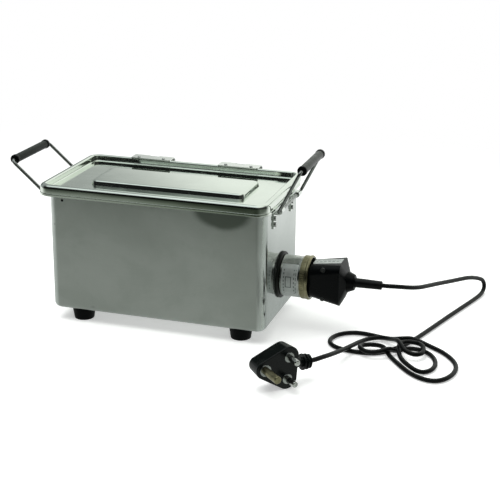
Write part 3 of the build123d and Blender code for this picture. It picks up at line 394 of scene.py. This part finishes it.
def can_print(graph, x, y, z):
    """Dashes and a box, laid out round the can's axis."""
    angle = graph.calc("ARCTAN2", graph.minus(z, middle("terminal_can", 2)),
                       graph.times(y, -1.0))
    arc = graph.times(angle, CAN_LABEL_RADIUS)
    across = graph.minus(x, middle("can_label", 0))
    rows = [(-0.0070, 0.00060, 0.60), (0.0058, 0.00060, 0.52), (0.0080, 0.00045, 0.66)]
    bars = dashes(graph, arc, across, rows, start=-0.017, stop=0.016, pitch=0.0046)
    box = ruled_box(graph, across, arc, centre=(-0.0012, 0.0), half=(0.0033, 0.0066),
                    line=0.0005)
    return graph.calc("MAXIMUM", bars, box)


def connector_print(graph, x, y, z):
    along = graph.minus(x, middle("connector_label", 0))
    across = graph.minus(y, middle("connector_label", 1))
    rows = [(-0.0014, 0.0011, 0.60), (0.0034, 0.0005, 0.72)]
    return dashes(graph, along, across, rows, start=-0.0145, stop=0.0145, pitch=0.0052)


def label_plate(name, print_on, ink_colour, ink_strength):
    graph = new_material(name)
    place = graph.object_place()
    stain = graph.noise(place, scale=120.0, detail=5.0, rough=0.6, distort=0.2)
    brushed = graph.noise(graph.mapped(place, scale=(1200.0, 60.0, 1200.0)),
                          scale=1.0, detail=4.0, rough=0.6)
    colour = graph.paint((0.44, 0.47, 0.455), (0.56, 0.59, 0.57),
                         mask=graph.ramp(stain, span=(0.35, 0.65)))
    colour = graph.paint(colour, (0.30, 0.32, 0.32), mask=graph.edge_mask(radius=0.0006),
                         strength=0.6)
    ink = print_on(graph, *graph.split(place))
    colour = graph.paint(colour, ink_colour, mask=ink, strength=ink_strength)
    roughness = graph.ramp(brushed, span=(0.3, 0.7), to=(0.34, 0.46))
    relief = graph.bump(brushed, strength=0.1, distance=0.00004)
    graph.finish(graph.principled(colour, roughness, Metallic=0.55, Normal=relief))


# ---------------------------------------------------------------- the materials
# name, brightness, roughness, tint, spots, colour of worn edges (the last two optional)
PLATED = [
    ("plated_wire", 0.40, 0.22, (0.95, 1.0, 0.96)),
    ("plated_fittings", 0.55, 0.20, (0.97, 1.0, 0.97)),
    ("rivet_metal", 0.85, 0.42, (0.97, 1.0, 0.97)),
    ("can_plate", 0.56, 0.20, (0.97, 1.0, 0.95), 0.4),
    ("pin_plate", 0.78, 0.20, (0.98, 1.0, 0.96)),
    ("brass_worn", 0.36, 0.26, (1.0, 0.92, 0.56), 0.8, (0.62, 0.58, 0.40)),
    ("element_sheath", 0.33, 0.42, (1.0, 0.96, 0.90), 1.0),
]

# name, colour, roughness, grain scale, grain depth, dust, specular level,
# colour of edges (optional)
MOULDED = [
    ("black_moulding", (0.0012, 0.0016, 0.0018), 0.30, 1100.0, 0.05, 0.02, 0.13,
     (0.010, 0.018, 0.016)),
    ("plug_moulding", (0.0016, 0.0028, 0.0027), 0.22, 1100.0, 0.04, 0.05, 0.32,
     (0.035, 0.055, 0.050)),
    ("blackened_screw", (0.006, 0.007, 0.007), 0.34, 900.0, 0.05, 0.05, 0.5,
     (0.05, 0.055, 0.05)),
    ("grip_moulding", (0.007, 0.011, 0.008), 0.34, 900.0, 0.08, 0.25, 0.40,
     (0.05, 0.06, 0.05)),
    # a darker copy of grip_moulding for the left grip: painted shade
    ("grip_moulding_painted_shade", (0.004, 0.008, 0.006), 0.36, 900.0, 0.08, 0.08, 0.14,
     (0.03, 0.045, 0.035)),
    ("foot_rubber", (0.0012, 0.0016, 0.0017), 0.50, 1300.0, 0.20, 0.04, 0.10,
     (0.008, 0.012, 0.011)),
    ("gasket_rubber", (0.006, 0.008, 0.006), 0.40, 1500.0, 0.15, 0.15, 0.25),
    ("cord_sheath", (0.0016, 0.0020, 0.0021), 0.38, 1500.0, 0.12, 0.06, 0.24),
]


def make_materials():
    sheet_steel("tank_satin_steel", base=0.47, rough=0.36, end_rough=0.07, wave=0.10,
                wave_scale=6.0, tint=(0.94, 1.0, 0.94), end_face_painted_reflection=(0.56, 0.60, 0.575),
                metallic=0.93, detail=tank_tone_and_painted_light)
    sheet_steel("lid_polished_steel", base=0.80, rough=0.085, end_rough=0.085, wave=0.10,
                wave_scale=9.0, grain=0.04, tint=(0.935, 1.0, 0.915), detail=lid_skirt_painted_reflection)
    sheet_steel("hinge_steel", base=0.90, rough=0.30, end_rough=0.30, wave=0.05,
                wave_scale=30.0, grain=0.08, tint=(0.97, 1.0, 0.96))
    sheet_steel("lug_steel", base=0.86, rough=0.16, end_rough=0.12, wave=0.05,
                wave_scale=30.0, grain=0.06, tint=(0.96, 1.0, 0.95),
                end_face_painted_reflection=(0.72, 0.76, 0.73))
    for row in PLATED:
        plated(*row)
    sheet_steel("tray_steel", base=0.62, rough=0.24, end_rough=0.24, wave=0.05,
                wave_scale=20.0)
    for row in MOULDED:
        moulded(*row)
    moulded("insulator", base=(0.62, 0.58, 0.50), rough=0.35, grain=700.0, depth=0.08,
            dust=0.05, sheen=(0.75, 0.72, 0.66), coat=0.3)
    label_plate("label_plate", can_print, ink_colour=(0.035, 0.05, 0.045),
                ink_strength=0.80)
    label_plate("label_plate_connector", connector_print, ink_colour=(0.03, 0.04, 0.038),
                ink_strength=0.78)


make_materials()

MATERIAL_OF_SLOT = {
    "tank_steel": "tank_satin_steel", "lid_steel": "lid_polished_steel",
    "hinge_steel": "hinge_steel", "plated_steel": "plated_fittings",
    "rivet_metal": "rivet_metal", "grip_plastic": "grip_moulding",
    "foot_rubber": "foot_rubber", "gasket_rubber": "gasket_rubber",
    "element_steel": "element_sheath", "brass": "brass_worn", "can_metal": "can_plate",
    "label_grey": "label_plate", "insulator": "insulator",
    "black_moulding": "black_moulding", "cord_rubber": "cord_sheath",
    "pin_metal": "pin_plate", "tray_steel": "tray_steel",
}
# nodes that don't take the material of their slot
MATERIAL_OF_NODE = {
    "handle_wire_left": "plated_wire", "handle_wire_right": "plated_wire",
    "handle_lugs_left": "lug_steel", "handle_lugs_right": "lug_steel",
    "lug_rivets_left": "rivet_metal", "lug_rivets_right": "rivet_metal",
    "handle_grip_left": "grip_moulding_painted_shade", "connector_screws": "blackened_screw",
    "plug_body": "plug_moulding", "plug_boot": "plug_moulding",
    "connector_label": "label_plate_connector",
}


# ---------------------------------------------------------------- smoothing and dressing
def smooth_group():
    """Joins touching facets and shades smooth, with creases at the sharper edges."""
    group = bpy.data.node_groups.new("smooth_by_angle", "GeometryNodeTree")
    for direction in ("INPUT", "OUTPUT"):
        group.interface.new_socket("Geometry", in_out=direction,
                                   socket_type="NodeSocketGeometry")
    graph = Graph(group)
    source = graph.add("NodeGroupInput")
    bare = graph.add("GeometryNodeRemoveAttribute",
                     {"Geometry": source.outputs[0], "Name": "custom_normal"})
    merged = graph.add("GeometryNodeMergeByDistance",
                       {"Geometry": bare.outputs[0], "Distance": 2e-6})
    smooth = graph.add("GeometryNodeSetShadeSmooth",
                       {"Geometry": merged.outputs[0], "Shade Smooth": True}, domain="FACE")
    angle = graph.add("GeometryNodeInputMeshEdgeAngle").outputs["Unsigned Angle"]
    sharp = graph.add("FunctionNodeCompare", {0: angle, 1: math.radians(CREASE_ANGLE)},
                      data_type="FLOAT", operation="GREATER_THAN")
    creased = graph.add("GeometryNodeSetShadeSmooth",
                        {"Geometry": smooth.outputs[0], "Selection": sharp.outputs[0],
                         "Shade Smooth": False}, domain="EDGE")
    graph.add("NodeGroupOutput", {0: creased.outputs[0]})
    return group


SMOOTH = smooth_group()


def soften(piece):
    piece.modifiers.new("smooth", "NODES").node_group = SMOOTH


def dress_nodes():
    """Gives every loaded node its material and smooth shading."""
    slot_of = {part["node"]: part["material_slot"] for part in frame["record"]["subparts"]}
    for name, piece in frame["nodes"].items():
        key = MATERIAL_OF_NODE.get(name) or MATERIAL_OF_SLOT[slot_of[name]]
        if not piece.material_slots:
            piece.data.materials.append(MATERIALS[key])
        for slot in piece.material_slots:
            slot.material = MATERIALS[key]
        soften(piece)


dress_nodes()


# ---------------------------------------------------------------- mesh helpers
def add_mesh(name, verts, faces, material, body):
    mesh = bpy.data.meshes.new(name)
    mesh.from_pydata([tuple(v) for v in verts], [], faces)
    mesh.validate()
    work = bmesh.new()
    work.from_mesh(mesh)
    bmesh.ops.recalc_face_normals(work, faces=work.faces)
    work.to_mesh(mesh)
    work.free()
    piece = bpy.data.objects.new(name, mesh)
    bpy.context.scene.collection.objects.link(piece)
    mesh.materials.append(MATERIALS[material])
    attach(piece, body)
    return piece


def frames_along(points):
    """A twist-free pair of normals at every point of a path."""
    last = len(points) - 1
    tangents = [(points[min(i + 1, last)] - points[max(i - 1, 0)]).normalized()
                for i in range(last + 1)]
    side = tangents[0].cross(Vector((0, 0, 1))).normalized()
    pairs = []
    for tangent in tangents:
        side = (side - tangent * side.dot(tangent)).normalized()
        pairs.append((side, tangent.cross(side).normalized()))
    return pairs


def tube(points, radius, sides):
    """A round tube along a path, with flat caps."""
    verts, faces = [], []
    for point, (side, other) in zip(points, frames_along(points)):
        for k in range(sides):
            a = 2 * math.pi * k / sides
            verts.append(point + (side * math.cos(a) + other * math.sin(a)) * radius)
    last = (len(points) - 1) * sides
    for ring in range(0, last, sides):
        for k in range(sides):
            k2 = (k + 1) % sides
            faces.append((ring + k, ring + k2, ring + sides + k2, ring + sides + k))
    faces.append(tuple(range(sides))[::-1])
    faces.append(tuple(last + k for k in range(sides)))
    return verts, faces


def rounded(points, times):
    """Cuts the corners of a path, leaving its two ends in place."""
    for _ in range(times):
        cut = [points[0]]
        for i in range(len(points) - 1):
            here, there = points[i], points[i + 1]
            if i > 0:
                cut.append(here.lerp(there, 0.25))
            if i < len(points) - 2:
                cut.append(here.lerp(there, 0.75))
        cut.append(points[-1])
        points = cut
    return points


def evenly(points, step):
    """Points at even distances along a path."""
    run = [0.0]
    for here, there in zip(points, points[1:]):
        run.append(run[-1] + (there - here).length)
    count = int(run[-1] / step)
    spaced, j = [], 0
    for i in range(count + 1):
        target = run[-1] * i / count
        while j < len(run) - 2 and run[j + 1] < target:
            j += 1
        part = (target - run[j]) / (run[j + 1] - run[j])
        spaced.append(points[j].lerp(points[j + 1], min(1.0, part)))
    return spaced


def lathe(name, profile, origin, direction, body, steps):
    """Turns (along, radius) pairs about the y axis through origin, pointing along direction."""
    origin = Vector(origin)
    axis = Vector((0, direction, 0))
    side = Vector((1, 0, 0))
    other = axis.cross(side)
    count = len(profile)
    verts, faces = [], []
    for k in range(steps):
        a = 2 * math.pi * k / steps
        outward = side * math.cos(a) + other * math.sin(a)
        verts += [origin + axis * along + outward * radius for along, radius in profile]
    for k in range(steps):
        k2 = (k + 1) % steps
        for i in range(count):
            i2 = (i + 1) % count
            faces.append((k * count + i, k * count + i2, k2 * count + i2, k2 * count + i))
    soften(add_mesh(name, verts, faces, "black_moulding", body))


# ---------------------------------------------------------------- new pieces
# The flex, from inside the connector sleeve to inside the plug boot: x, y, z in millimetres
CORD_PATH = [
    (243.0, 0.0, 67.2), (270.0, 0.0, 67.2),
    (280.1, 7.6, 65.1), (287.1, 13.8, 63.1), (293.3, 21.1, 60.7), (298.6, 29.1, 58.3),
    (303.2, 37.6, 56.1), (307.0, 46.6, 54.1), (319.6, 83.9, 46.7), (326.7, 102.4, 43.0),
    (334.2, 120.7, 39.6), (345.9, 148.1, 34.9), (349.8, 157.1, 33.0), (353.6, 166.0, 30.5),
    (357.3, 174.6, 27.6), (360.9, 183.0, 24.1), (364.0, 190.8, 20.4), (365.9, 194.7, 15.7),
    (367.0, 195.8, 11.0), (367.0, 193.1, 7.1), (366.1, 187.1, 4.6), (364.7, 179.4, 3.3),
    (359.9, 160.4, 3.3), (338.1, 93.6, 3.3), (317.5, 26.4, 3.3), (308.0, -2.1, 3.3),
    (304.5, -11.4, 3.3), (300.5, -20.6, 3.3), (295.9, -29.4, 3.3), (285.4, -45.5, 3.3),
    (278.9, -52.5, 3.3), (271.5, -57.7, 3.3), (262.6, -60.4, 3.3), (253.1, -61.2, 3.3),
    (243.4, -60.8, 3.3), (234.0, -59.2, 3.3), (225.2, -56.0, 3.3), (217.8, -50.7, 3.3),
    (212.9, -43.5, 3.3), (211.1, -35.0, 3.3), (212.4, -26.2, 3.3), (216.2, -17.9, 3.3),
    (222.1, -10.8, 3.3), (229.7, -5.8, 3.3), (238.5, -3.3, 3.3), (247.9, -3.4, 3.3),
    (257.4, -5.2, 3.3), (276.5, -10.1, 3.4), (286.3, -11.5, 5.0), (296.2, -12.1, 7.4),
    (306.2, -12.5, 9.0), (316.0, -13.4, 6.8), (325.3, -15.8, 4.6), (334.1, -20.0, 3.3),
    (342.0, -25.7, 3.3), (349.1, -32.5, 3.3), (355.5, -40.0, 3.3), (361.0, -48.2, 3.3),
    (365.3, -56.9, 3.3), (368.0, -66.2, 3.3), (368.8, -75.8, 3.3), (367.8, -85.4, 3.3),
    (365.4, -94.7, 3.3), (361.5, -103.1, 3.3), (356.0, -109.8, 3.3), (348.7, -113.3, 3.3),
    (340.4, -112.8, 3.3), (332.1, -109.2, 3.3), (324.4, -103.7, 3.3), (317.2, -97.2, 3.3),
    (310.7, -89.6, 3.3), (304.5, -81.6, 3.3), (292.7, -65.4, 3.3), (286.7, -57.6, 4.7),
    (280.8, -50.1, 8.9), (274.4, -44.0, 7.9), (266.8, -40.9, 6.7), (259.3, -41.6, 6.2),
    (253.8, -46.1, 6.6), (251.8, -53.2, 7.9), (253.5, -60.6, 9.5), (258.5, -66.6, 8.9),
    (265.8, -69.3, 8.7), (274.0, -68.2, 9.4), (281.6, -63.8, 10.7), (288.0, -57.1, 11.6),
    (291.9, -49.0, 5.7), (296.5, -41.1, 3.3), (301.9, -34.3, 3.3), (309.1, -30.4, 3.3),
    (317.4, -30.3, 3.3), (325.5, -33.5, 3.3), (332.5, -39.3, 3.3), (338.0, -46.9, 3.3),
    (341.8, -55.7, 3.3), (344.0, -65.0, 3.3), (344.3, -74.4, 3.3), (342.6, -83.4, 3.3),
    (338.4, -90.5, 3.3), (332.9, -95.1, 3.8), (326.4, -95.6, 5.3), (319.8, -92.4, 7.1),
    (314.0, -85.8, 7.5), (308.7, -78.0, 7.0), (304.1, -69.5, 6.7), (300.4, -60.5, 7.3),
    (297.9, -51.2, 8.7), (296.3, -41.9, 9.5), (296.3, -33.0, 9.2), (300.3, -27.2, 9.2),
    (305.5, -23.6, 8.9), (311.7, -23.2, 8.7), (318.3, -25.3, 8.7), (323.4, -32.3, 9.3),
    (325.9, -40.6, 8.4), (326.0, -49.3, 7.5), (322.4, -55.3, 7.8), (317.6, -59.2, 8.7),
    (311.6, -59.7, 10.2), (305.2, -57.7, 12.3), (300.0, -50.7, 15.4), (295.5, -42.4, 16.4),
    (290.7, -33.9, 13.8), (285.3, -26.1, 10.5), (278.9, -19.5, 7.9), (271.8, -15.2, 6.2),
    (264.4, -14.7, 5.1), (258.0, -18.9, 4.8), (253.1, -26.1, 5.4), (249.4, -34.7, 6.3),
    (246.5, -44.0, 7.5), (244.1, -53.6, 8.7), (237.4, -82.6, 13.0), (231.0, -111.3, 18.7),
    (228.3, -120.7, 20.5), (224.6, -129.7, 21.7), (216.08, -143.65, 22.13),
    (202.34, -157.39, 23.82),
]

# turned outlines: distance along the axis, radius
FERRULE = [(0.0, 0.0022), (0.0, 0.0050), (0.0004, 0.0056), (0.0012, 0.0059),
           (0.0042, 0.0059), (0.0049, 0.0056), (0.0051, 0.0053), (0.0051, 0.0022)]
STUD = [(-0.0002, TIP_RADIUS), (-0.0002, 0.0016), (0.0002, 0.0016), (0.0006, 0.0012),
        (0.0008, 0.0006), (0.00085, TIP_RADIUS)]


def flex_cord():
    path = evenly(rounded([Vector(point) * MM for point in CORD_PATH], times=3), CORD_STEP)
    verts, faces = tube(path, CORD_RADIUS, CORD_SIDES)
    cord = add_mesh("flex_cord", verts, faces, "cord_sheath", "connector")
    for face in cord.data.polygons:
        face.use_smooth = len(face.vertices) == 4    # the caps stay flat
    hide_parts("cord")


def grip_ferrules():
    """Black ferrules on both ends of both grips."""
    for side in ("left", "right"):
        low, high = map(Vector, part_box("handle_grip_" + side))
        centre = (low + high) / 2
        for tag, y, direction in (("near", low.y - FERRULE_OVERHANG, 1),
                                  ("far", high.y + FERRULE_OVERHANG, -1)):
            lathe("grip_end_%s_%s" % (side, tag), FERRULE, (centre.x, y, centre.z),
                  direction, side + "_handle", FERRULE_STEPS)


def rear_seam():
    """Lap seam down the middle of the rear wall."""
    inner = SEAM_HALF_WIDTH - SEAM_SLOPE
    section = [(-SEAM_HALF_WIDTH, -SEAM_SUNK), (-inner, SEAM_PROUD),
               (inner, SEAM_PROUD), (SEAM_HALF_WIDTH, -SEAM_SUNK)]
    verts, faces = [], []
    for i in range(SEAM_STEPS + 1):
        z = SEAM_BOTTOM + (SEAM_TOP - SEAM_BOTTOM) * i / SEAM_STEPS
        verts += [(x, WALL_Y + out, z) for x, out in section]
    top = SEAM_STEPS * 4
    for row in range(0, top, 4):
        for k in range(3):
            faces.append((row + k, row + k + 1, row + k + 5, row + k + 4))
        faces.append((row + 3, row, row + 4, row + 7))
    faces.append((0, 1, 2, 3))
    faces.append((top, top + 1, top + 2, top + 3))
    soften(add_mesh("rear_lap_seam", verts, faces, "tank_satin_steel", "tank"))


flex_cord()
grip_ferrules()
# small domed stud high on the front wall, at the left
lathe("front_stud", STUD, STUD_PLACE, -1, "tank", STUD_STEPS)
rear_seam()


# ---------------------------------------------------------------- floor
FLOOR_HALF = 14.0
# floor colours in reflections: towards the viewer, and away, close to the object or not
NEAR_BRIGHT, NEAR_DIM = (0.455, 0.485, 0.455), (0.085, 0.100, 0.082)
FAR_CLOSE, FAR_OPEN = (0.52, 0.545, 0.53), (0.98, 1.0, 0.985)
CORE_HALF_X = 0.25          # distances are taken from a line of this half length along x


def floor_material():
    """Pale to the camera and to light, with set colours for reflections."""
    graph = new_material("floor_pale")
    ray = graph.add("ShaderNodeLightPath").outputs
    geometry = graph.add("ShaderNodeNewGeometry").outputs
    # incoming points back along the ray, so a ray leaving the viewer has a negative depth
    view = graph.add("ShaderNodeVectorTransform", {0: geometry["Incoming"]},
                     vector_type="VECTOR", convert_from="WORLD", convert_to="CAMERA")
    far = graph.fade(graph.split(view.outputs[0])[2], span=(0.25, -0.55))
    x, y, z = graph.split(geometry["Position"])
    beyond = graph.calc("MAXIMUM", graph.minus(graph.calc("ABSOLUTE", x), CORE_HALF_X), 0.0)
    distance = graph.length(beyond, y)

    # the bright part reaches further on the left than on the right
    reach = graph.minus(distance, graph.fade(x, span=(0.12, -0.16), to=(0.0, 0.20)))
    near_colour = graph.paint(NEAR_BRIGHT, NEAR_DIM, mask=graph.fade(reach, span=(0.36, 0.60)))
    far_colour = graph.paint(FAR_CLOSE, FAR_OPEN,
                             mask=graph.fade(distance, span=(0.10, 0.50)))
    reflected = graph.emission(graph.paint(near_colour, far_colour, mask=far))

    matt = graph.principled((0.93, 0.935, 0.93), rough=0.9, Specular_IOR_Level=0.0)
    lit = graph.add("ShaderNodeAddShader", {0: matt, 1: graph.emission((0.42, 0.42, 0.42))})
    # away from the object the floor runs out into the white backdrop
    seen = graph.mix_shader(graph.fade(distance, span=(0.30, 1.0)), lit.outputs[0],
                            graph.emission((1.0, 1.0, 1.0)))
    direct = graph.mix_shader(ray["Is Camera Ray"], matt, seen)
    graph.finish(graph.mix_shader(ray["Is Glossy Ray"], direct, reflected))


def add_floor():
    mesh = bpy.data.meshes.new("floor")
    corners = [(x * FLOOR_HALF, y * FLOOR_HALF, 0)
               for x, y in ((-1, -1), (1, -1), (1, 1), (-1, 1))]
    mesh.from_pydata(corners, [], [(0, 1, 2, 3)])
    floor = bpy.data.objects.new("floor", mesh)
    bpy.context.scene.collection.objects.link(floor)
    floor_material()
    mesh.materials.append(MATERIALS["floor_pale"])


add_floor()


# ---------------------------------------------------------------- world, lights, camera
def add_world():
    """White to the camera. As light, the backdrop and ceiling are bright, the rest dim."""
    world = bpy.data.worlds.new("studio")
    bpy.context.scene.world = world
    world.use_nodes = True
    world.node_tree.nodes.clear()
    graph = Graph(world.node_tree)
    place = graph.add("ShaderNodeTexCoord").outputs
    view_x, view_y, view_depth = graph.split(place["Camera"])
    height = graph.split(place["Generated"])[2]

    away = graph.fade(view_depth, span=(-0.25, 0.35), to=(0.035, 0.98))
    # negative on the left of the view, where the backdrop falls off and turns bluer
    sideways = graph.calc("DIVIDE", view_x, graph.calc("MAXIMUM", view_depth, 0.05))
    away = graph.times(away, graph.fade(sideways, span=(-0.20, 0.015), to=(0.34, 1.0)))
    ceiling = graph.fade(height, span=(0.70, 0.92))
    level = graph.calc("MAXIMUM", away, ceiling)
    red = graph.fade(sideways, span=(-0.30, 0.0), to=(0.93, 0.96))
    blue = graph.fade(sideways, span=(-0.30, 0.0), to=(1.0, 0.95))
    tinted = graph.add("ShaderNodeCombineColor", {0: graph.times(level, red), 1: level,
                                                  2: graph.times(level, blue)})

    light, seen = [
        graph.add("ShaderNodeBackground", {"Color": colour, "Strength": 1.0}).outputs[0]
        for colour in (tinted.outputs[0], (1.0, 1.0, 1.0))]
    is_camera = graph.add("ShaderNodeLightPath").outputs["Is Camera Ray"]
    graph.add("ShaderNodeOutputWorld", {0: graph.mix_shader(is_camera, light, seen)})


def area_light(name, place, target, size, power, colour):
    """A soft rectangular light that leaves no reflection of itself."""
    light = bpy.data.lights.new(name, "AREA")
    light.shape = "RECTANGLE"
    light.size, light.size_y = size
    light.energy = power
    light.color = colour
    lamp = bpy.data.objects.new(name, light)
    lamp.location = place
    lamp.rotation_mode = "QUATERNION"
    lamp.rotation_quaternion = (Vector(target) - Vector(place)).to_track_quat("-Z", "Y")
    bpy.context.scene.collection.objects.link(lamp)
    lamp.visible_glossy = False


def add_camera(place, lens, yaw, pitch, roll):
    """Angles in degrees: yaw turns the view from +y towards -x, pitch tips it down."""
    lens_data = bpy.data.cameras.new("camera")
    camera = bpy.data.objects.new("camera", lens_data)
    bpy.context.scene.collection.objects.link(camera)
    lens_data.sensor_fit = "HORIZONTAL"
    lens_data.sensor_width = 36.0
    lens_data.lens = lens
    lens_data.clip_start, lens_data.clip_end = 0.05, 60.0

    yaw, pitch, roll = map(math.radians, (yaw, pitch, roll))
    level = Vector((math.cos(yaw), math.sin(yaw), 0))
    forward = Vector((-math.sin(yaw) * math.cos(pitch), math.cos(yaw) * math.cos(pitch),
                      -math.sin(pitch)))
    upright = level.cross(forward)
    right = level * math.cos(roll) + upright * math.sin(roll)
    up = upright * math.cos(roll) - level * math.sin(roll)
    pose = Matrix((right, up, -forward)).transposed().to_4x4()
    pose.translation = Vector(place)
    camera.matrix_world = pose
    bpy.context.scene.camera = camera


add_world()
area_light("key_soft", place=(-0.35, -0.2, 1.7), target=(0.05, 0, 0.05), size=(1.9, 1.5),
           power=26.0, colour=(1.0, 1.0, 0.98))
area_light("fill_front", place=(0.9, -1.9, 0.9), target=(0.05, 0, 0.08), size=(1.2, 1.0),
           power=6.0, colour=(0.98, 1.0, 1.0))
add_camera(place=(0.5218, -1.3697, 0.5829), lens=88.1424, yaw=17.198, pitch=18.826,
           roll=0.569)

view = bpy.context.scene.view_settings
view.view_transform = "Standard"
view.look = "None"
view.exposure = 0.0
view.gamma = 1.0
